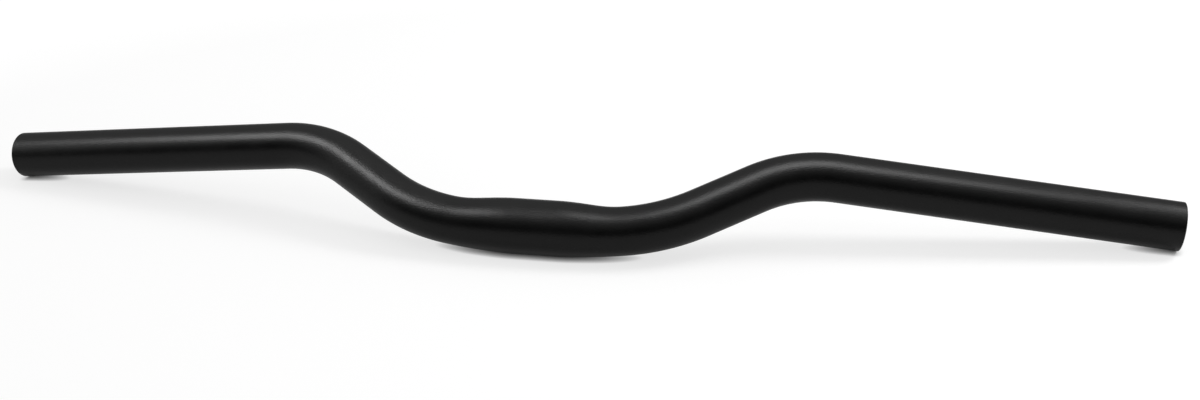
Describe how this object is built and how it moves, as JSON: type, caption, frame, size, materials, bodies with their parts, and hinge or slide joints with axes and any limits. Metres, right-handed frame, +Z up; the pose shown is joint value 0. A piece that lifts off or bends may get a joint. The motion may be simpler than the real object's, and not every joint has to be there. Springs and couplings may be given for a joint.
{
  "type": "bicycle handlebar",
  "caption": "Riser handlebar: a bent tube with a thicker clamping middle, which rises to each side and sweeps back to straight grip ends.",
  "frame": {"origin": "centre of the full-diameter middle, where a stem clamps the bar", "axes": "+X runs along the middle's axis to the bar's own end on the right of the picture, +Y points away from the picture's viewer, and +Z is up as the bar lies on a level surface; the two sides mirror each other across X"},
  "size_m": [0.5702, 0.0749, 0.0421],
  "materials": {
    "bar": "satin"
  },
  "bodies": {
    "root": {"handlebar": "bar"}
  },
  "joints": []
}
